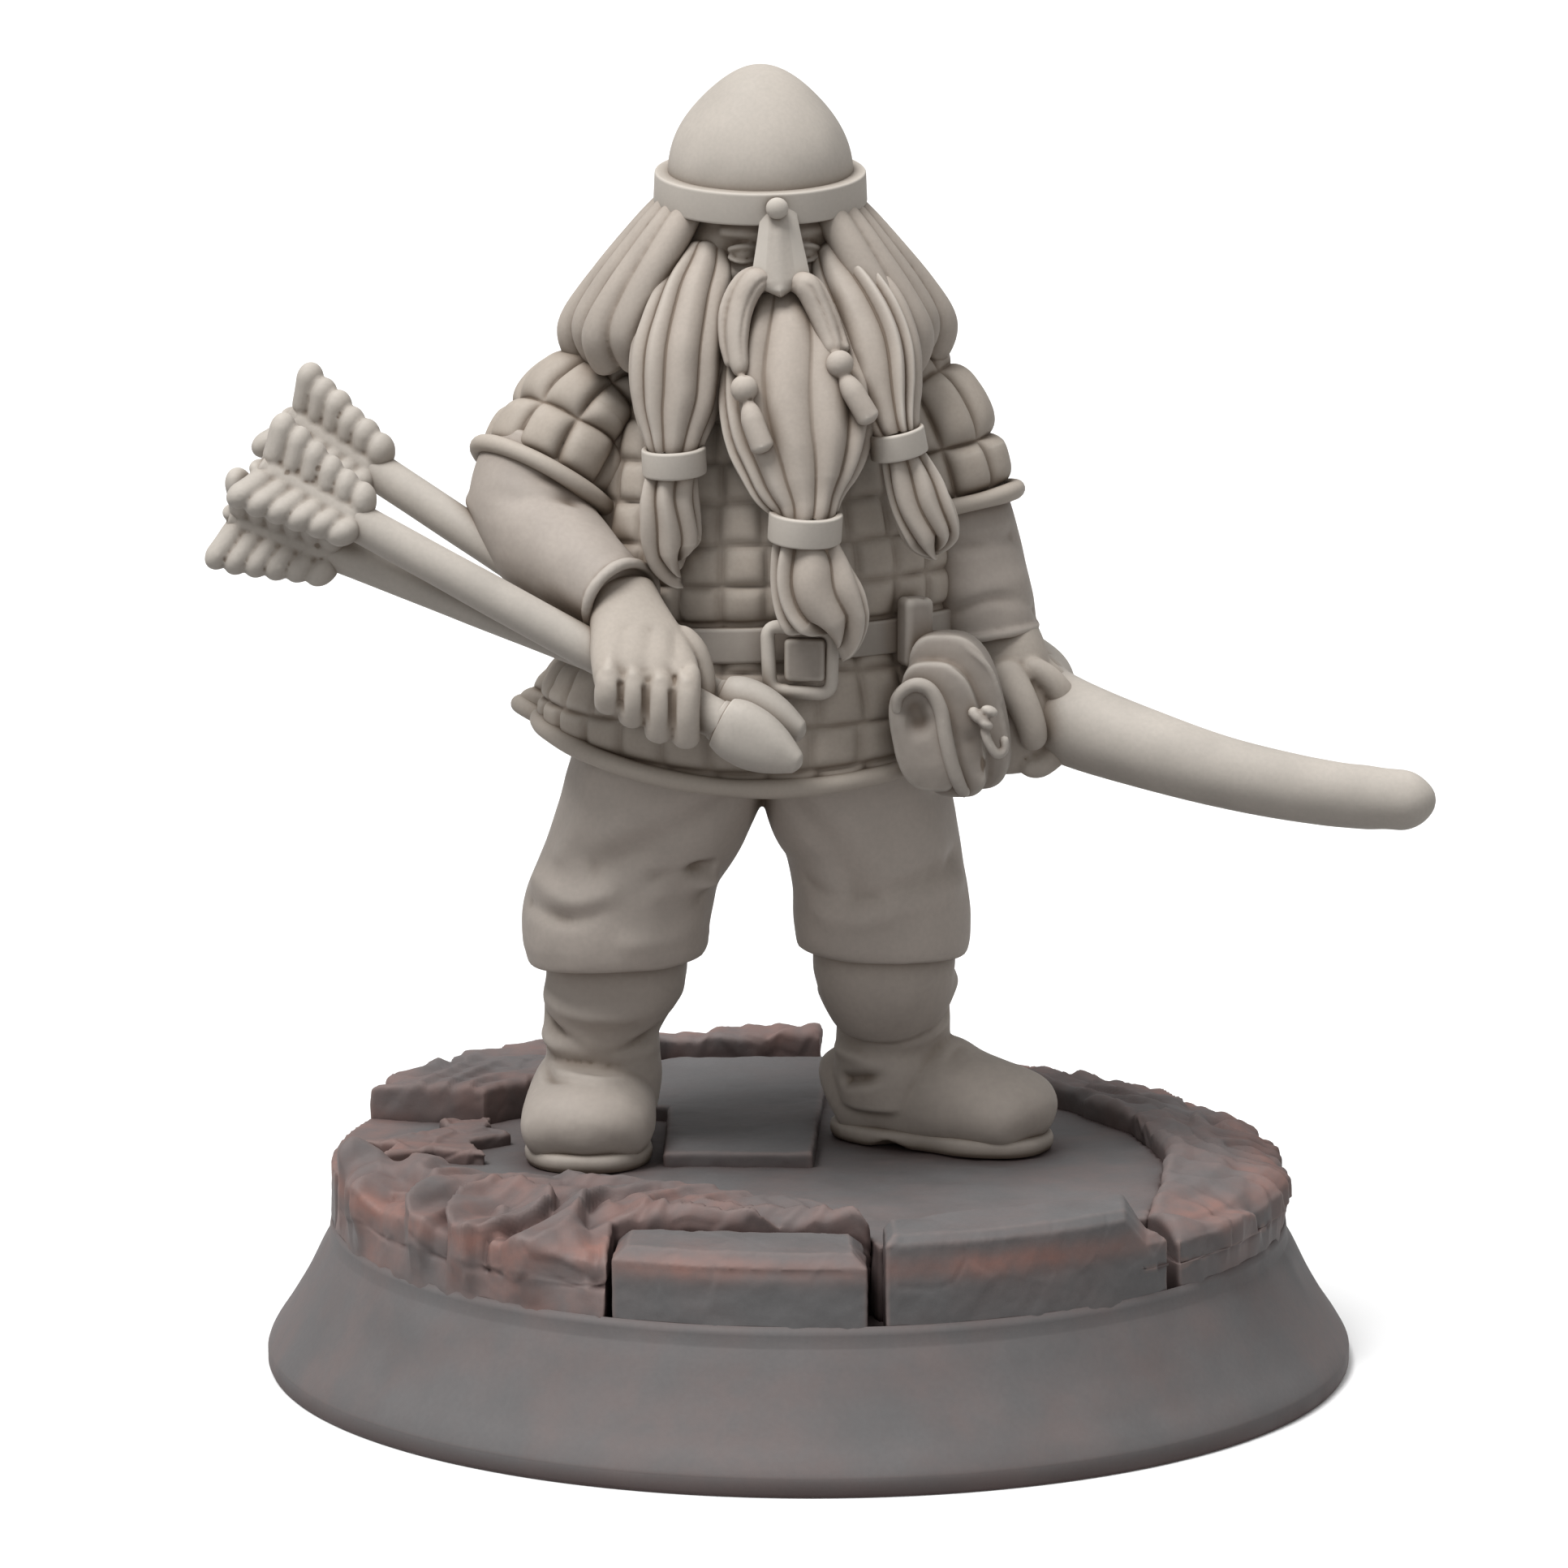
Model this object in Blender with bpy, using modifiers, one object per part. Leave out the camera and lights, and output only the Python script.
"""A 25 mm based wargame miniature: a bearded archer in a quilted coat, standing on broken stone.

Every sub-part is its own closed solid. Sizes are in millimetres and are turned into metres when
a shape is made. +Z is up, the figure faces -Y, and the origin is the centre of the base's underside.
"""
import math

import bmesh
import bpy
from mathutils import Matrix, Vector
from mathutils.bvhtree import BVHTree

MM = 0.001
GLUE_LINE = 0.05
WELD = 0.001
LEAST_SHARE_LEFT = 0.2
ROUGHNESS = 0.8
SHARP_ANGLE = 40

# Driving dimensions, in millimetres.
RIM_RADIUS = 12.5
WALL_RADIUS = 10.95
SKIRT_HEIGHT = 2.95
FLOOR_TOP = 4.7
SOLE_TOP = 5.05
HEM_HEIGHT = 13.95
WAIST_HEIGHT = 17.15
SHAFT_RADIUS = 0.42
BOW_RADIUS = 0.97
HELMET_CENTRE = (-1.1, -0.9, 27.45)
HELMET_TILT = 8.0
HELMET_RADIUS = 2.08

# The coat's rings from hem to neck: height, centre x, centre y, half width, half depth.
COAT_RINGS = (
    (HEM_HEIGHT, -1.0, 0.1, 5.1, 4.0),
    (15.2, -1.0, 0.1, 5.15, 4.05),
    (16.4, -1.0, 0.1, 4.75, 3.9),
    (WAIST_HEIGHT, -1.0, 0.15, 4.5, 3.7),
    (18.4, -1.0, 0.1, 4.6, 3.8),
    (20.0, -1.05, 0.2, 4.35, 3.45),
    (21.6, -1.1, 0.3, 4.0, 3.0),
    (22.8, -1.1, 0.3, 3.5, 2.6),
    (23.7, -1.1, 0.2, 2.5, 2.1),
    (24.2, -1.1, 0.1, 1.4, 1.4),
)
COAT_SIDES = 28
HEM_SIDE_LIFT = 0.035
TRIM_RADIUS = 0.2
BELT_WIDTH = 0.8
BELT_THICKNESS = 0.32
BELT_SLANT = 0.03

RESIN = (0.56, 0.52, 0.47)
RESIN_DARK = (0.44, 0.41, 0.37)
STONE = (0.23, 0.22, 0.22)
STONE_RED = (0.28, 0.21, 0.20)

placed = []


# ---------------------------------------------------------------- scene and helpers

def clear_scene():
    for item in list(bpy.data.objects):
        bpy.data.objects.remove(item)


def new_collection(name):
    collection = bpy.data.collections.new(name)
    bpy.context.scene.collection.children.link(collection)
    return collection


def paint(item, colour):
    """Give a sub-part a Principled material of its own."""
    material = bpy.data.materials.new(item.name + "_resin")
    material.use_nodes = True
    shader = material.node_tree.nodes["Principled BSDF"]
    shader.inputs["Base Color"].default_value = (*colour, 1.0)
    shader.inputs["Roughness"].default_value = ROUGHNESS
    shader.inputs["Metallic"].default_value = 0.0
    material.diffuse_color = (*colour, 1.0)
    item.data.materials.clear()
    item.data.materials.append(material)


def object_from_bmesh(name, shape):
    bmesh.ops.recalc_face_normals(shape, faces=shape.faces)
    mesh = bpy.data.meshes.new(name)
    shape.to_mesh(mesh)
    shape.free()
    item = bpy.data.objects.new(name, mesh)
    parts.objects.link(item)
    return item


def baked(item):
    """Turn a curve, or a mesh with modifiers, into a plain mesh object in the same place."""
    bpy.context.view_layer.update()
    graph = bpy.context.evaluated_depsgraph_get()
    mesh = bpy.data.meshes.new_from_object(item.evaluated_get(graph))
    shape = bmesh.new()
    shape.from_mesh(mesh)
    if item.type == "CURVE":
        bmesh.ops.remove_doubles(shape, verts=shape.verts, dist=WELD * MM)
    bmesh.ops.recalc_face_normals(shape, faces=shape.faces)
    shape.to_mesh(mesh)
    shape.free()
    result = bpy.data.objects.new(item.name, mesh)
    parts.objects.link(result)
    result.matrix_world = item.matrix_world
    name = item.name
    bpy.data.objects.remove(item)
    result.name = name
    return result


def with_boolean(item, other, operation, solver="EXACT"):
    modifier = item.modifiers.new(operation.title(), "BOOLEAN")
    modifier.operation = operation
    modifier.solver = solver
    modifier.object = other


def volume_if_closed(item):
    """The mesh's volume, or nothing where an edge isn't shared by just two faces."""
    shape = bmesh.new()
    shape.from_mesh(item.data)
    closed = all(len(edge.link_faces) == 2 for edge in shape.edges)
    volume = shape.calc_volume(signed=True)
    shape.free()
    return volume if closed and volume > 0 else None


def cut(item, cutter):
    """Take the cutter out of the piece; the second solver is for a cut that the first leaves open."""
    before = volume_if_closed(item)
    for solver in ("EXACT", "MANIFOLD"):
        trial = item.copy()
        trial.data = item.data.copy()
        parts.objects.link(trial)
        with_boolean(trial, cutter, "DIFFERENCE", solver)
        trial = baked(trial)
        volume = volume_if_closed(trial)
        if volume and LEAST_SHARE_LEFT * before < volume < before * 1.0001:
            break
        bpy.data.objects.remove(trial)
    name = item.name
    bpy.data.objects.remove(item)
    trial.name = name
    keep_largest_body(trial)
    return trial


def joined(name, pieces):
    """One closed body from overlapping pieces."""
    first = pieces[0]
    for other in pieces[1:]:
        with_boolean(first, other, "UNION")
    result = baked(first)
    for other in pieces[1:]:
        bpy.data.objects.remove(other)
    result.name = name
    return result


def swollen(item):
    """A cutter: the same shape with its surface moved outwards by the glue line."""
    shape = bmesh.new()
    shape.from_mesh(item.data)
    shape.transform(item.matrix_world)
    shape.normal_update()
    moves = [(vertex, vertex.normal * GLUE_LINE * MM) for vertex in shape.verts]
    for vertex, move in moves:
        vertex.co += move
    mesh = bpy.data.meshes.new(item.name + "_cutter")
    shape.to_mesh(mesh)
    shape.free()
    cutter = bpy.data.objects.new(item.name + "_cutter", mesh)
    cutters.objects.link(cutter)
    cutter.hide_render = True
    cutter.display_type = "WIRE"
    return cutter


def surface_tree(item):
    corners = [item.matrix_world @ vertex.co for vertex in item.data.vertices]
    faces = [tuple(face.vertices) for face in item.data.polygons]
    return BVHTree.FromPolygons(corners, faces)


def keep_largest_body(item):
    """Drop the crumbs that a cut can leave beside the main body."""
    shape = bmesh.new()
    shape.from_mesh(item.data)
    waiting = set(shape.faces)
    bodies = []
    while waiting:
        body = set()
        front = [waiting.pop()]
        while front:
            face = front.pop()
            body.add(face)
            for edge in face.edges:
                for neighbour in edge.link_faces:
                    if neighbour in waiting:
                        waiting.remove(neighbour)
                        front.append(neighbour)
        bodies.append(body)
    largest = max(bodies, key=lambda faces: sum(face.calc_area() for face in faces))
    loose = [face for body in bodies if body is not largest for face in body]
    bmesh.ops.delete(shape, geom=loose, context="FACES")
    shape.to_mesh(item.data)
    shape.free()


def place(item, colour):
    """Fit a piece round those already in place, leaving the glue line, and finish it."""
    bpy.context.view_layer.update()
    surface = surface_tree(item)
    cutter = swollen(item)
    touching = [other for other, other_surface in placed if surface.overlap(other_surface)]
    for other in touching:
        item = cut(item, other)
    paint(item, colour)
    item.data.shade_smooth()
    item.data.set_sharp_from_angle(angle=math.radians(SHARP_ANGLE))
    placed.append((cutter, surface_tree(cutter)))
    return item


def remove_cutters():
    for cutter, _ in placed:
        bpy.data.objects.remove(cutter)


# ---------------------------------------------------------------- shape makers

def ring_points(centre, along, across, half_width, half_depth, sides):
    side = (across - along * across.dot(along)).normalized()
    front = along.cross(side)
    points = []
    for step in range(sides):
        angle = 2 * math.pi * step / sides
        offset = side * half_width * math.cos(angle) + front * half_depth * math.sin(angle)
        points.append((centre + offset) * MM)
    return points


def skin(name, rings):
    """Close a stack of rings into one body with flat ends."""
    shape = bmesh.new()
    rows = [[shape.verts.new(point) for point in ring] for ring in rings]
    count = len(rows[0])
    for lower, upper in zip(rows, rows[1:]):
        for step in range(count):
            after = (step + 1) % count
            shape.faces.new((lower[step], lower[after], upper[after], upper[step]))
    shape.faces.new(list(reversed(rows[0])))
    shape.faces.new(rows[-1])
    return object_from_bmesh(name, shape)


def loft(name, stations, sides=12, across=(1, 0, 0)):
    """A body through oval sections: each station is a centre, a half width and a half depth."""
    centres = [Vector(station[0]) for station in stations]
    last = len(centres) - 1
    rings = []
    for index, (_, half_width, half_depth) in enumerate(stations):
        along = (centres[min(index + 1, last)] - centres[max(index - 1, 0)]).normalized()
        rings.append(ring_points(centres[index], along, Vector(across), half_width, half_depth, sides))
    return skin(name, rings)


def tube(name, points, radii, closed=False, resolution=2):
    """A round bar through the points, with a radius at each."""
    curve = bpy.data.curves.new(name, "CURVE")
    curve.dimensions = "3D"
    curve.bevel_depth = MM
    curve.bevel_resolution = resolution
    curve.use_fill_caps = not closed
    spline = curve.splines.new("POLY")
    spline.points.add(len(points) - 1)
    spline.use_cyclic_u = closed
    for index, point in enumerate(points):
        spline.points[index].co = (*(Vector(point) * MM), 1.0)
        spline.points[index].radius = radii[index] if isinstance(radii, (list, tuple)) else radii
    item = bpy.data.objects.new(name, curve)
    parts.objects.link(item)
    return baked(item)


def turned(name, profile, steps, matrix=None):
    """A turned body: the profile is radius and height from the top, down the outside, to the bottom."""
    shape = bmesh.new()
    vertices = [shape.verts.new((radius * MM, 0, height * MM)) for radius, height in profile]
    ends_on_axis = profile[0][0] == 0 and profile[-1][0] == 0
    for first, second in zip(vertices, vertices[1:]):
        shape.edges.new((first, second))
    if not ends_on_axis:
        shape.edges.new((vertices[-1], vertices[0]))
    mesh = bpy.data.meshes.new(name)
    shape.to_mesh(mesh)
    shape.free()
    item = bpy.data.objects.new(name, mesh)
    parts.objects.link(item)
    screw = item.modifiers.new("Turn", "SCREW")
    screw.steps = steps
    screw.render_steps = steps
    screw.use_merge_vertices = True
    screw.merge_threshold = WELD * MM
    if matrix is not None:
        item.matrix_world = matrix
    return baked(item)


def slab(name, outline, bottom, top, chamfer=0.0):
    """A flat outline in plan, given a thickness and chamfered edges."""
    curve = bpy.data.curves.new(name, "CURVE")
    curve.dimensions = "2D"
    curve.fill_mode = "BOTH"
    curve.extrude = (top - bottom) / 2 * MM
    spline = curve.splines.new("POLY")
    spline.points.add(len(outline) - 1)
    spline.use_cyclic_u = True
    for point, (x, y) in zip(spline.points, outline):
        point.co = (x * MM, y * MM, 0.0, 1.0)
    item = bpy.data.objects.new(name, curve)
    parts.objects.link(item)
    item.location.z = (top + bottom) / 2 * MM
    item = baked(item)
    if chamfer:
        bevel = item.modifiers.new("Chamfer", "BEVEL")
        bevel.width = chamfer * MM
        bevel.segments = 1
        bevel.limit_method = "ANGLE"
        item = baked(item)
    return item


def ball(name, centre, radius, rings=6, segments=10):
    shape = bmesh.new()
    bmesh.ops.create_uvsphere(shape, u_segments=segments, v_segments=rings, radius=radius * MM)
    bmesh.ops.translate(shape, verts=shape.verts, vec=Vector(centre) * MM)
    return object_from_bmesh(name, shape)


def rim_arc(start, end, count, radius=WALL_RADIUS):
    """Points on the base's wall between two bearings in degrees, anticlockwise from +X."""
    bearings = [start + (end - start) * step / (count - 1) for step in range(count)]
    return [
        (radius * math.cos(math.radians(bearing)), radius * math.sin(math.radians(bearing)))
        for bearing in bearings
    ]


def oval_loop(centre, along, across, half_width, half_depth, count=20):
    along = Vector(along).normalized()
    loop = ring_points(Vector(centre), along, Vector(across), half_width, half_depth, count)
    return [point / MM for point in loop]


# ---------------------------------------------------------------- head

def helmet_matrix():
    place_at = Matrix.Translation(Vector(HELMET_CENTRE) * MM)
    return place_at @ Matrix.Rotation(math.radians(HELMET_TILT), 4, "X")


def head():
    skull = loft("head_core", (
        ((-1.1, -0.1, 21.9), 1.4, 1.4),
        ((-1.05, -0.5, 23.4), 1.45, 1.5),
        ((-1.0, -0.9, 24.3), 1.6, 1.8),
        ((-1.0, -1.0, 25.6), 1.85, 1.95),
        ((-1.05, -1.0, 26.8), 1.95, 1.95),
        ((-1.1, -1.05, 28.0), 1.6, 1.6),
        ((-1.1, -1.1, 28.9), 0.8, 0.8),
    ))
    nose = loft("nose", (
        ((-0.85, -2.6, 26.3), 0.2, 0.3),
        ((-0.85, -2.85, 25.6), 0.35, 0.4),
        ((-0.85, -2.7, 25.2), 0.3, 0.3),
    ), sides=8)
    place(joined("head_core", [skull, nose]), RESIN)


def helmet():
    matrix = helmet_matrix()
    band_profile = (
        (HELMET_RADIUS + 0.06, 0.02),
        (HELMET_RADIUS + 0.24, 0.02),
        (HELMET_RADIUS + 0.3, -0.05),
        (HELMET_RADIUS + 0.3, -0.7),
        (HELMET_RADIUS + 0.24, -0.76),
        (HELMET_RADIUS + 0.06, -0.76),
    )
    place(ball("nasal_rivet", (-0.72, -3.32, 26.98), 0.21), RESIN)
    nasal = loft("nasal_guard", (
        ((-0.72, -3.1, 26.8), 0.38, 0.16),
        ((-0.7, -3.3, 26.2), 0.42, 0.22),
        ((-0.65, -3.5, 25.45), 0.57, 0.24),
        ((-0.62, -3.5, 25.0), 0.06, 0.05),
    ), sides=4)
    place(turned("helmet_band", band_profile, 28, matrix), RESIN)
    place(nasal, RESIN)
    steps = 6
    dome_profile = [(0, HELMET_RADIUS * 1.17)]
    for step in range(1, steps + 1):
        angle = math.radians(90 * (1 - step / steps))
        height = HELMET_RADIUS * (math.sin(angle) + 0.17 * math.sin(angle) ** 6)
        dome_profile.append((HELMET_RADIUS * math.cos(angle), height))
    dome_profile.append((HELMET_RADIUS, -0.5))
    dome_profile.append((0, -0.5))
    place(turned("helmet_dome", dome_profile, 28, matrix), RESIN)


def moustache(side, points, bead_centre, tail):
    """A drooping lock, the bead that gathers it and the tuft below, cast in one piece."""
    name = "moustache_" + side
    lock = tube(name, points, (0.17, 0.23, 0.25, 0.24, 0.2))
    bead = ball("bead", bead_centre, 0.31)
    tuft = tube("tuft", tail, (0.16, 0.25, 0.25, 0.12))
    place(joined(name, [lock, bead, tuft]), RESIN)


def moustaches():
    right_lock = (
        (-0.8, -3.25, 25.3), (-1.4, -3.45, 25.1), (-1.68, -3.6, 24.3),
        (-1.6, -3.85, 23.6), (-1.45, -4.0, 23.1),
    )
    right_tuft = ((-1.35, -4.15, 22.8), (-1.25, -4.35, 22.3), (-1.05, -4.45, 21.8), (-0.98, -4.45, 21.6))
    left_lock = (
        (-0.5, -3.25, 25.25), (0.05, -3.4, 24.9), (0.3, -3.55, 24.3),
        (0.5, -3.75, 23.8), (0.6, -3.95, 23.4),
    )
    left_tuft = ((0.7, -4.1, 23.35), (0.95, -4.25, 22.9), (1.25, -4.3, 22.4), (1.35, -4.3, 22.2))
    moustache("right", right_lock, (-1.42, -4.1, 22.95), right_tuft)
    moustache("left", left_lock, (0.64, -4.05, 23.55), left_tuft)


def beard_ring(side, centre, along, radius, height):
    """A plain band round a lock of the beard."""
    hole = 0.62 * radius
    edge = 0.08
    half = height / 2
    profile = (
        (hole, half),
        (radius - edge, half),
        (radius, half - edge),
        (radius, edge - half),
        (radius - edge, -half),
        (hole, -half),
    )
    turn = Vector(along).to_track_quat("Z", "Y").to_matrix().to_4x4()
    matrix = Matrix.Translation(Vector(centre) * MM) @ turn
    place(turned("beard_ring_" + side, profile, 16, matrix), RESIN)


def beard():
    beard_ring("right", (-3.0, -3.85, 21.32), (-0.05, -0.1, 1), 0.7, 0.6)
    beard_ring("centre", (-0.1, -4.6, 19.95), (0.05, -0.12, 1), 0.8, 0.66)
    beard_ring("left", (1.95, -3.7, 21.7), (-0.2, -0.1, 1), 0.63, 0.6)
    place(loft("beard_tail_right", (
        ((-3.0, -3.85, 21.3), 0.36, 0.36),
        ((-3.05, -3.87, 20.95), 0.5, 0.45),
        ((-3.12, -3.9, 20.2), 0.6, 0.52),
        ((-3.05, -3.9, 19.4), 0.6, 0.48),
        ((-2.85, -3.9, 18.75), 0.35, 0.25),
    )), RESIN)
    place(loft("beard_tail_centre", (
        ((-0.1, -4.6, 19.95), 0.42, 0.42),
        ((-0.08, -4.65, 19.55), 0.68, 0.55),
        ((0.1, -4.75, 18.7), 0.9, 0.62),
        ((0.35, -4.8, 17.9), 0.93, 0.55),
        ((0.6, -4.85, 17.3), 0.62, 0.36),
        ((0.85, -4.9, 16.95), 0.2, 0.16),
    )), RESIN)
    place(loft("beard_tail_left", (
        ((1.95, -3.7, 21.7), 0.33, 0.33),
        ((2.08, -3.72, 21.3), 0.42, 0.4),
        ((2.42, -3.75, 20.5), 0.58, 0.5),
        ((2.7, -3.75, 19.7), 0.55, 0.45),
        ((2.8, -3.75, 19.15), 0.25, 0.2),
    )), RESIN)
    place(loft("beard_centre", (
        ((-0.5, -2.6, 24.7), 0.95, 0.45),
        ((-0.38, -3.2, 23.7), 1.45, 0.75),
        ((-0.3, -3.6, 22.7), 1.58, 0.9),
        ((-0.25, -3.95, 21.6), 1.5, 0.9),
        ((-0.2, -4.3, 20.75), 1.15, 0.75),
        ((-0.12, -4.5, 20.3), 0.72, 0.6),
        ((-0.1, -4.58, 20.0), 0.42, 0.42),
    )), RESIN)
    place(loft("beard_right", (
        ((-2.1, -2.1, 25.9), 0.5, 0.45),
        ((-2.5, -2.7, 24.8), 0.9, 0.7),
        ((-2.9, -3.15, 23.5), 1.0, 0.82),
        ((-2.95, -3.5, 22.4), 0.88, 0.78),
        ((-2.98, -3.75, 21.75), 0.56, 0.55),
        ((-3.0, -3.83, 21.35), 0.36, 0.36),
    )), RESIN)
    place(loft("beard_left", (
        ((0.25, -2.0, 26.0), 0.45, 0.45),
        ((0.95, -2.5, 24.9), 0.9, 0.7),
        ((1.4, -2.95, 23.8), 0.95, 0.78),
        ((1.65, -3.3, 22.9), 0.82, 0.72),
        ((1.85, -3.6, 22.15), 0.5, 0.5),
        ((1.95, -3.7, 21.75), 0.33, 0.33),
    )), RESIN)


def hair():
    place(loft("hair_right", (
        ((-2.0, 0.1, 26.85), 1.3, 1.9),
        ((-2.5, 0.35, 25.6), 1.8, 2.25),
        ((-2.9, 0.5, 24.6), 2.2, 2.3),
        ((-3.0, 0.55, 23.8), 2.3, 2.2),
        ((-2.9, 0.6, 23.2), 1.9, 1.8),
    )), RESIN)
    place(loft("hair_left", (
        ((-0.1, 0.1, 26.85), 1.25, 1.9),
        ((0.25, 0.35, 25.6), 1.7, 2.25),
        ((0.6, 0.5, 24.6), 1.9, 2.3),
        ((0.6, 0.55, 23.8), 1.85, 2.2),
        ((0.5, 0.6, 23.2), 1.5, 1.8),
    )), RESIN)


# ---------------------------------------------------------------- arrows and bow

# Each arrow: nock end, front end of the shaft, its roll in degrees, and whether its head shows.
ARROWS = (
    ("front", (-12.2, -2.9, 21.0), (-1.75, -5.4, 15.6), 90, True),
    ("lower", (-12.9, -1.7, 19.85), (-1.75, -4.5, 15.95), 52, True),
    ("rear", (-11.7, 0.6, 21.75), (-4.7, -3.2, 17.7), 83, False),
)
FLETCHING_LENGTH = 2.7
VANE_REACH = 1.35
HEAD_LENGTH = 2.2


def arrow_frame(start, end):
    """Unit vectors along the arrow and square to it."""
    along = (Vector(end) - Vector(start)).normalized()
    side = along.cross(Vector((0, 0, 1))).normalized()
    return along, side, side.cross(along)


def vane(name, start, along, outward, thickness=0.5):
    """One feather vane: a plate that stands out from the shaft, taller towards the nock."""
    across = along.cross(outward)
    outline = (
        (0.0, 0.5),
        (-0.15, VANE_REACH - 0.35),
        (0.25, VANE_REACH),
        (FLETCHING_LENGTH * 0.6, VANE_REACH * 0.8),
        (FLETCHING_LENGTH - 0.1, 0.72),
        (FLETCHING_LENGTH - 0.1, 0.5),
    )
    sides = []
    for shift in (-thickness / 2, thickness / 2):
        plate = Vector(start) + across * shift
        sides.append([(plate + along * reach + outward * height) * MM for reach, height in outline])
    return skin(name, sides)


def arrows():
    frames = {}
    for label, start, end, _, _ in ARROWS:
        frames[label] = arrow_frame(start, end)
        shaft = tube("arrow_shaft_" + label, (start, end), SHAFT_RADIUS)
        place(shaft, RESIN)
    for label, start, end, roll, has_head in ARROWS:
        along, side, up = frames[label]
        if has_head:
            base = Vector(end) - along * 0.35
            stations = [
                (base, 0.3, 0.42),
                (base + along * 0.2, 0.62, 0.46),
                (base + along * 0.9, 0.72, 0.5),
                (base + along * 1.7, 0.5, 0.4),
                (base + along * HEAD_LENGTH, 0.14, 0.12),
            ]
            place(loft("arrow_head_" + label, stations, sides=8, across=up), RESIN)
        sleeve_end = Vector(start) + along * FLETCHING_LENGTH
        sleeve = tube("sleeve", (Vector(start) - along * 0.12, sleeve_end), SHAFT_RADIUS + 0.22)
        pieces = [sleeve]
        for turn in (0, 120, 240):
            angle = math.radians(roll + turn)
            outward = side * math.cos(angle) + up * math.sin(angle)
            pieces.append(vane("vane", start, along, outward))
        place(joined("arrow_fletching_" + label, pieces), RESIN)


def bow():
    """A thick stave held level: one limb reaches out to the side, the other curls behind the back."""
    stave = (
        ((-4.2, 5.6, 16.5), 0.45),
        ((-3.8, 5.7, 16.45), 0.68),
        ((-2.0, 5.95, 16.3), 0.74),
        ((0.4, 5.8, 16.1), 0.8),
        ((2.6, 5.1, 15.9), 0.88),
        ((4.3, 3.6, 15.7), 0.93),
        ((5.1, 1.6, 15.5), BOW_RADIUS),
        ((5.2, 0.2, 15.3), BOW_RADIUS),
        ((5.9, -1.0, 15.0), BOW_RADIUS),
        ((7.5, -1.9, 14.55), 0.86),
        ((9.4, -2.4, 14.05), 0.77),
        ((11.4, -2.6, 13.67), 0.74),
        ((13.2, -2.7, 13.5), 0.7),
        ((13.75, -2.7, 13.48), 0.6),
        ((14.05, -2.7, 13.47), 0.35),
    )
    points = [point for point, _ in stave]
    radii = [radius for _, radius in stave]
    place(tube("bow", points, radii), RESIN)


# ---------------------------------------------------------------- arms and hands

def right_hand():
    """The back of the hand faces forwards and four fingers close over the arrows."""
    palm = loft("hand_right", (
        ((-4.25, -3.85, 18.6), 0.62, 0.5),
        ((-4.0, -4.35, 18.0), 0.8, 0.52),
        ((-3.75, -5.05, 17.3), 1.05, 0.5),
        ((-3.6, -5.5, 16.75), 1.12, 0.42),
        ((-3.55, -5.65, 16.45), 1.05, 0.3),
    ), sides=10, across=(1, 0, 0))
    tips = ((-4.4, 16.0), (-3.9, 15.7), (-3.3, 15.4), (-2.72, 15.35))
    pieces = [palm]
    knuckle_height = 16.85
    for x, tip in tips:
        knuckle = (x + 0.05, -5.6, knuckle_height)
        middle = (x, -5.78, (knuckle_height + tip) / 2)
        path = (knuckle, middle, (x, -5.65, tip + 0.15), (x, -5.5, tip))
        pieces.append(tube("finger", path, (0.27, 0.29, 0.27, 0.14)))
    thumb_path = ((-3.2, -4.6, 17.4), (-2.6, -4.3, 17.0), (-2.5, -3.95, 16.5), (-2.6, -3.85, 16.2))
    pieces.append(tube("thumb", thumb_path, (0.36, 0.36, 0.3, 0.16)))
    place(joined("hand_right", pieces), RESIN)


def left_hand():
    """A fist closed round the stave."""
    palm = loft("hand_left", (
        ((4.0, -0.5, 17.6), 0.72, 0.7),
        ((4.3, -0.5, 16.9), 0.95, 0.9),
        ((4.75, -0.5, 16.3), 1.15, 1.35),
        ((4.95, -0.45, 15.2), 1.15, 1.6),
        ((4.85, -0.4, 14.2), 1.0, 1.3),
        ((4.75, -0.35, 13.8), 0.6, 0.9),
    ), sides=12)
    pieces = [palm]
    for row in range(4):
        y = -1.55 + 0.75 * row
        path = (
            (5.4, y, 16.55), (6.0, y + 0.15, 15.9), (6.1, y + 0.3, 15.0),
            (5.7, y + 0.2, 14.2), (5.1, y, 13.95),
        )
        pieces.append(tube("finger", path, (0.24, 0.36, 0.38, 0.36, 0.24)))
    place(joined("hand_left", pieces), RESIN)


def undersleeves():
    place(loft("undersleeve_right", (
        ((-5.75, -0.7, 21.3), 1.3, 1.3),
        ((-6.05, -0.9, 20.6), 1.45, 1.45),
        ((-6.2, -1.35, 19.8), 1.45, 1.35),
        ((-5.65, -2.2, 19.1), 1.35, 1.25),
        ((-4.9, -3.1, 18.6), 1.15, 1.1),
        ((-4.4, -3.7, 18.3), 1.05, 1.0),
        ((-4.15, -4.0, 18.15), 0.95, 0.85),
    ), across=(-0.44, -0.69, 0.53)), RESIN)
    place(loft("undersleeve_left", (
        ((3.05, 0.0, 20.7), 1.25, 1.35),
        ((3.1, 0.0, 20.2), 1.35, 1.45),
        ((3.4, -0.1, 19.0), 1.4, 1.5),
        ((3.7, -0.3, 17.9), 1.35, 1.45),
        ((3.85, -0.4, 17.2), 1.3, 1.35),
        ((3.9, -0.4, 16.95), 1.2, 1.25),
    )), RESIN)


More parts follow.
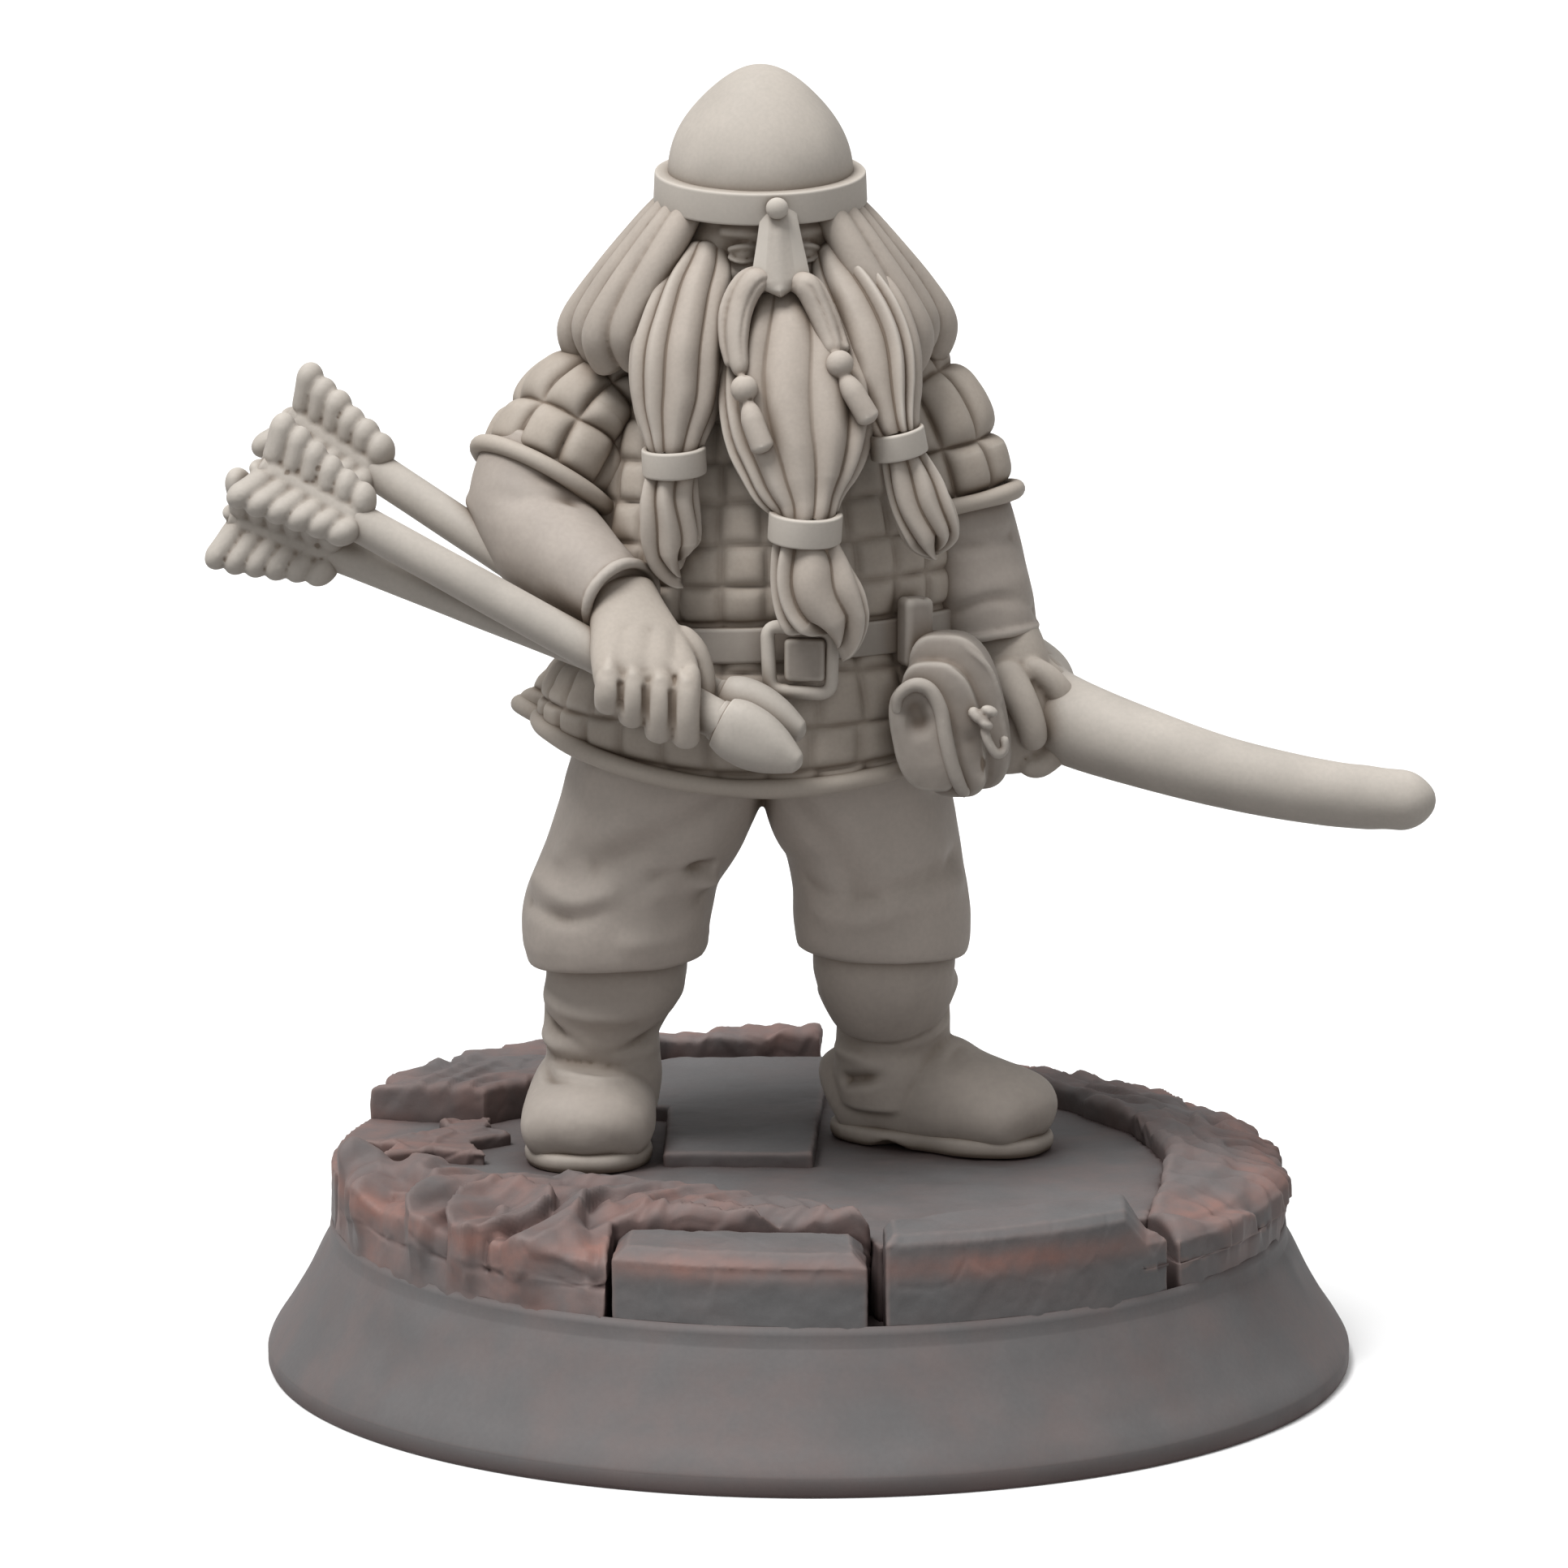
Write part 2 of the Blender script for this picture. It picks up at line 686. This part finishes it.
def sleeves():
    """Short quilted sleeves, each with a rolled hem."""
    right_hem = oval_loop((-5.95, -0.8, 20.4), (-0.5, -0.35, -0.85), (-0.85, 0.0, 0.5), 1.72, 1.75)
    left_hem = oval_loop((3.15, -0.05, 19.9), (0.2, -0.05, -0.98), (0.98, 0.0, 0.2), 1.55, 1.65)
    place(tube("sleeve_hem_right", right_hem, TRIM_RADIUS, closed=True, resolution=1), RESIN)
    place(tube("sleeve_hem_left", left_hem, TRIM_RADIUS, closed=True, resolution=1), RESIN)
    place(loft("sleeve_right", (
        ((-3.2, 0.3, 22.9), 1.0, 1.2),
        ((-4.3, 0.2, 22.5), 1.35, 1.65),
        ((-5.2, -0.2, 21.7), 1.6, 1.8),
        ((-5.7, -0.6, 20.85), 1.72, 1.8),
        ((-5.9, -0.75, 20.5), 1.7, 1.75),
    ), across=(-0.7, 0, 0.7)), RESIN)
    place(loft("sleeve_left", (
        ((1.2, 0.3, 23.2), 1.0, 1.2),
        ((2.1, 0.2, 22.5), 1.35, 1.6),
        ((2.7, 0.05, 21.4), 1.5, 1.7),
        ((3.0, 0.0, 20.5), 1.55, 1.7),
        ((3.12, -0.03, 20.05), 1.55, 1.65),
    ), across=(0.9, 0, 0.4)), RESIN)


# ---------------------------------------------------------------- legs

# Each boot: heel, toe and ankle in plan, the knee's x, and the sole's half width.
BOOTS = {
    "right": {"heel": (-4.95, 2.9), "toe": (-5.1, -2.15), "ankle": (-4.75, 0.7), "knee": -4.45, "half": 1.58},
    "left": {"heel": (0.75, 2.3), "toe": (5.4, 0.0), "ankle": (1.95, 1.35), "knee": 1.75, "half": 1.45},
}
# The foot from heel to toe: share of its length, height, and share of its half width.
FOOT_SHAPE = (
    (0.02, 0.5, 0.55),
    (0.12, 1.0, 0.85),
    (0.35, 1.5, 0.95),
    (0.6, 1.3, 1.0),
    (0.85, 0.85, 0.95),
    (0.98, 0.45, 0.55),
)
PEG_RADIUS = 0.5
PEG_BOTTOM = 3.8


def sole_outline(heel, toe, half_width):
    """A footprint: round heel, slight waist, broad round toe."""
    heel = Vector(heel)
    toe = Vector(toe)
    forward = (toe - heel).normalized()
    side = Vector((-forward.y, forward.x))
    length = (toe - heel).length
    outline = []
    for step in range(20):
        angle = 2 * math.pi * step / 20
        reach = (1 - math.cos(angle)) / 2
        breadth = half_width * (0.86 + 0.14 * reach - 0.16 * math.sin(math.pi * reach) ** 8)
        spread = math.copysign(abs(math.sin(angle)) ** 0.7, math.sin(angle))
        point = heel + forward * length * reach + side * breadth * spread
        outline.append((point.x, point.y))
    return outline


def sole(side):
    """The sole, with a peg under the heel that goes down into the base."""
    plan = BOOTS[side]
    heel = Vector(plan["heel"])
    outline = sole_outline(plan["heel"], plan["toe"], plan["half"])
    plate = slab("boot_sole_" + side, outline, FLOOR_TOP + 0.04, SOLE_TOP)
    peg_at = heel.lerp(Vector(plan["toe"]), 0.3)
    peg_top = SOLE_TOP - 0.1
    peg_profile = ((0, peg_top), (PEG_RADIUS, peg_top), (PEG_RADIUS, PEG_BOTTOM), (0, PEG_BOTTOM))
    peg_matrix = Matrix.Translation(Vector((peg_at.x, peg_at.y, 0)) * MM)
    peg = turned("peg", peg_profile, 12, peg_matrix)
    place(joined("boot_sole_" + side, [plate, peg]), RESIN_DARK)


def boot(side):
    plan = BOOTS[side]
    heel = Vector(plan["heel"])
    toe = Vector(plan["toe"])
    forward = (toe - heel).normalized()
    ankle_x, ankle_y = plan["ankle"]
    knee_x = plan["knee"]
    stations = []
    for share, height, breadth in FOOT_SHAPE:
        spot = heel.lerp(toe, share)
        centre = (spot.x, spot.y, SOLE_TOP + 0.05 + height * 0.55)
        stations.append((centre, plan["half"] * 0.93 * breadth, height * 0.95))
    foot = loft("boot_" + side, stations, across=(-forward.y, forward.x, 0))
    leg = loft("leg", (
        ((ankle_x, ankle_y, SOLE_TOP + 0.3), 1.25, 1.25),
        ((ankle_x, ankle_y, 6.6), 1.4, 1.35),
        ((ankle_x, ankle_y - 0.15, 7.7), 1.38, 1.35),
        ((knee_x, 0.35, 9.2), 1.65, 1.6),
        ((knee_x, 0.3, 10.2), 1.6, 1.55),
    ))
    below_sole = slab("below_sole", ((-9, -6), (9, -6), (9, 6), (-9, 6)), 3.0, SOLE_TOP + 0.05)
    item = cut(joined("boot_" + side, [foot, leg]), below_sole)
    bpy.data.objects.remove(below_sole)
    place(item, RESIN_DARK)


def trousers():
    right = loft("trousers", (
        ((-4.4, 0.2, 9.25), 2.0, 1.95),
        ((-4.45, 0.2, 10.0), 2.15, 2.1),
        ((-4.05, 0.15, 11.6), 2.05, 2.1),
        ((-3.45, 0.1, 13.0), 2.2, 2.3),
        ((-3.0, 0.1, 14.6), 2.2, 2.5),
        ((-2.8, 0.1, 16.2), 2.0, 2.4),
    ))
    left = loft("leg", (
        ((1.75, 0.2, 9.45), 1.8, 1.8),
        ((1.7, 0.2, 10.1), 2.02, 2.0),
        ((1.55, 0.15, 11.5), 1.98, 2.05),
        ((1.15, 0.1, 13.0), 2.1, 2.3),
        ((0.9, 0.1, 14.6), 2.1, 2.5),
        ((0.8, 0.1, 16.2), 2.0, 2.4),
    ))
    place(joined("trousers", [right, left]), RESIN_DARK)


# ---------------------------------------------------------------- coat and belt

def coat_section(height):
    """The coat's centre and half sizes at a height, between its rings."""
    for lower, upper in zip(COAT_RINGS, COAT_RINGS[1:]):
        if lower[0] <= height <= upper[0]:
            share = (height - lower[0]) / (upper[0] - lower[0])
            return [low + (high - low) * share for low, high in zip(lower[1:], upper[1:])]
    return list(COAT_RINGS[-1][1:])


def hem_lift(offset):
    """The hem rises towards the sides."""
    return HEM_SIDE_LIFT * offset * offset


def belt():
    """A strap solidified outwards from just under the coat's surface, a little higher on its left."""
    centre_x, centre_y, half_width, half_depth = coat_section(WAIST_HEIGHT)
    shape = bmesh.new()
    rows = []
    for height in (WAIST_HEIGHT - BELT_WIDTH / 2, WAIST_HEIGHT + BELT_WIDTH / 2):
        row = []
        for step in range(COAT_SIDES):
            angle = 2 * math.pi * step / COAT_SIDES
            x = centre_x + (half_width - GLUE_LINE) * math.cos(angle)
            y = centre_y + (half_depth - GLUE_LINE) * math.sin(angle)
            slant = BELT_SLANT * (x - centre_x)
            row.append(shape.verts.new(Vector((x, y, height + slant)) * MM))
        rows.append(row)
    for step in range(COAT_SIDES):
        after = (step + 1) % COAT_SIDES
        shape.faces.new((rows[0][step], rows[0][after], rows[1][after], rows[1][step]))
    item = object_from_bmesh("belt", shape)
    solidify = item.modifiers.new("Leather", "SOLIDIFY")
    solidify.thickness = BELT_THICKNESS * MM
    solidify.offset = 1.0
    item = baked(item)
    place(item, RESIN_DARK)


def rounded_rectangle(centre, half_width, half_height, corner, count=3):
    points = []
    corners = ((1, 1, 0), (-1, 1, 90), (-1, -1, 180), (1, -1, 270))
    for side_x, side_z, start in corners:
        for step in range(count):
            angle = math.radians(start + 90 * step / (count - 1))
            x = centre[0] + side_x * (half_width - corner) + corner * math.cos(angle)
            z = centre[2] + side_z * (half_height - corner) + corner * math.sin(angle)
            points.append((x, centre[1], z))
    return points


def belt_fittings():
    loop = rounded_rectangle((-0.1, -4.2, 16.95), 0.72, 0.72, 0.25)
    place(tube("belt_buckle", loop, 0.17, closed=True), RESIN)
    place(tube("buckle_prong", ((-0.6, -4.2, 16.95), (0.4, -4.2, 16.95)), 0.12), RESIN)
    keeper = loft("belt_keeper", (
        ((2.35, -2.98, 16.55), 0.3, 0.42),
        ((2.35, -2.98, 18.05), 0.3, 0.42),
    ), sides=8, across=(0.9, 0.42, 0))
    belt()
    place(keeper, RESIN_DARK)


def pouch():
    tie = ((3.6, -4.5, 15.75), (3.95, -4.65, 15.6), (4.15, -4.6, 15.25), (4.3, -4.45, 14.9))
    place(tube("pouch_tie", tie, (0.12, 0.19, 0.19, 0.12)), RESIN_DARK)
    flap = (
        (1.95, -4.3, 15.7), (2.05, -4.45, 16.25), (2.5, -4.55, 16.5), (2.95, -4.6, 16.1),
        (3.1, -4.65, 15.3), (3.2, -4.6, 14.6), (3.4, -4.4, 14.0),
    )
    place(tube("pouch_flap", flap, (0.14, 0.2, 0.22, 0.22, 0.22, 0.2, 0.14)), RESIN_DARK)
    place(loft("pouch_body", (
        ((2.9, -3.55, 13.8), 0.65, 0.5),
        ((2.95, -3.6, 14.4), 1.2, 0.85),
        ((3.0, -3.65, 15.5), 1.35, 0.95),
        ((3.1, -3.55, 16.5), 1.15, 0.85),
        ((3.25, -3.4, 17.3), 0.75, 0.5),
    )), RESIN_DARK)


def coat():
    centre_x, centre_y, half_width, half_depth = COAT_RINGS[0][1:]
    trim = []
    for step in range(COAT_SIDES):
        angle = 2 * math.pi * step / COAT_SIDES
        offset = (half_width + 0.02) * math.cos(angle)
        depth = (half_depth + 0.02) * math.sin(angle)
        trim.append((centre_x + offset, centre_y + depth, HEM_HEIGHT + hem_lift(offset)))
    place(tube("hem_trim", trim, TRIM_RADIUS, closed=True, resolution=1), RESIN)
    rings = []
    up = Vector((0, 0, 1))
    for index, (height, x, y, width, depth) in enumerate(COAT_RINGS):
        ring = ring_points(Vector((x, y, height)), up, Vector((1, 0, 0)), width, depth, COAT_SIDES)
        if index < 2:
            for point in ring:
                point.z += hem_lift(point.x / MM - x) * MM * (1 - 0.5 * index)
        rings.append(ring)
    place(skin("gambeson_torso", rings), RESIN)


# ---------------------------------------------------------------- base

def base_skirt():
    """A round base with a narrow upright edge and a hollow-curved flare up to the stone wall."""
    profile = [(0, SKIRT_HEIGHT), (WALL_RADIUS + 0.1, SKIRT_HEIGHT)]
    flare = 5
    edge_height = 0.36
    for step in range(1, flare + 1):
        share = step / flare
        radius = WALL_RADIUS + 0.1 + (RIM_RADIUS - WALL_RADIUS - 0.1) * share ** 1.25
        profile.append((radius, SKIRT_HEIGHT + (edge_height - SKIRT_HEIGHT) * share))
    profile.append((RIM_RADIUS, 0))
    profile.append((0, 0))
    place(turned("base_skirt", profile, 48), STONE)


def stones():
    """The paving on the base: each stone is one slab with its own outline and height."""
    bed = SKIRT_HEIGHT + 0.05
    # The joints between the stones, in plan.
    front_joint = [(-8.2, -3.0), (-6.5, -3.7), (-3.4, -4.6), (-0.2, -6.4), (1.3, -8.2)]
    right_joint = [(7.5, -6.3), (7.9, -4.2), (8.2, -1.0), (7.6, 2.0), (6.2, 4.4), (4.6, 6.2)]
    back_joint = [(0.3, 9.9), (-3.4, 9.2), (-5.5, 7.2)]
    corner_joint = [(-5.9, 4.7), (-7.6, 3.0)]
    front_block = rim_arc(-83, -113, 5) + [(-4.2, -8.2), (1.3, -8.6)]
    front_left = rim_arc(-114, -170, 8) + front_joint + [(1.3, -8.5), (-4.3, -8.1)]
    front_right = rim_arc(-44, -82, 6) + [(1.55, -9.1), (7.0, -6.6)]
    right = rim_arc(60, -42, 12) + right_joint
    back_left = rim_arc(160, 124, 5) + [(-5.55, 6.9)] + corner_joint
    back = rim_arc(122, 88, 5) + back_joint
    floor = front_joint + [(1.5, -9.0), (7.0, -6.6)] + right_joint + rim_arc(60, 88, 5)
    floor += back_joint + corner_joint + rim_arc(160, 190, 5)
    tile = [
        (-10.4, 0.2), (-9.3, 0.7), (-8.4, 1.6), (-8.6, 2.4), (-7.4, 2.7), (-7.5, 1.6),
        (-6.9, 0.9), (-7.8, 0.2), (-7.4, -1.2), (-8.6, -0.7), (-9.8, -1.3), (-9.5, -0.2),
    ]
    plank = [
        (-3.35, -1.4), (0.1, -1.4), (0.3, 3.2), (0.6, 9.0),
        (-3.2, 8.9), (-5.0, 7.2), (-5.3, 3.9), (-3.3, 3.4),
    ]
    place(slab("stone_front_block", front_block, bed, 4.95, 0.3), STONE)
    place(slab("stone_front_left", front_left, bed, 5.15, 0.12), STONE_RED)
    place(slab("stone_front_right", front_right, bed, 5.35, 0.2), STONE)
    place(slab("stone_right", right, bed, 5.15, 0.15), STONE_RED)
    place(slab("stone_back_left", back_left, bed, 5.6, 0.12), STONE_RED)
    place(slab("stone_back", back, bed, 5.5, 0.1), STONE_RED)
    place(slab("stone_tile", tile, FLOOR_TOP + 0.05, 4.98), STONE_RED)
    place(slab("stone_plank", plank, FLOOR_TOP + 0.05, 5.05, 0.06), STONE)
    place(slab("stone_floor", floor, bed, FLOOR_TOP), STONE)


clear_scene()
parts = new_collection("archer_miniature")
cutters = new_collection("cutters")
head()
helmet()
moustaches()
beard()
hair()
arrows()
bow()
right_hand()
left_hand()
undersleeves()
sleeves()
for boot_side in BOOTS:
    sole(boot_side)
    boot(boot_side)
trousers()
belt_fittings()
pouch()
coat()
base_skirt()
stones()
remove_cutters()
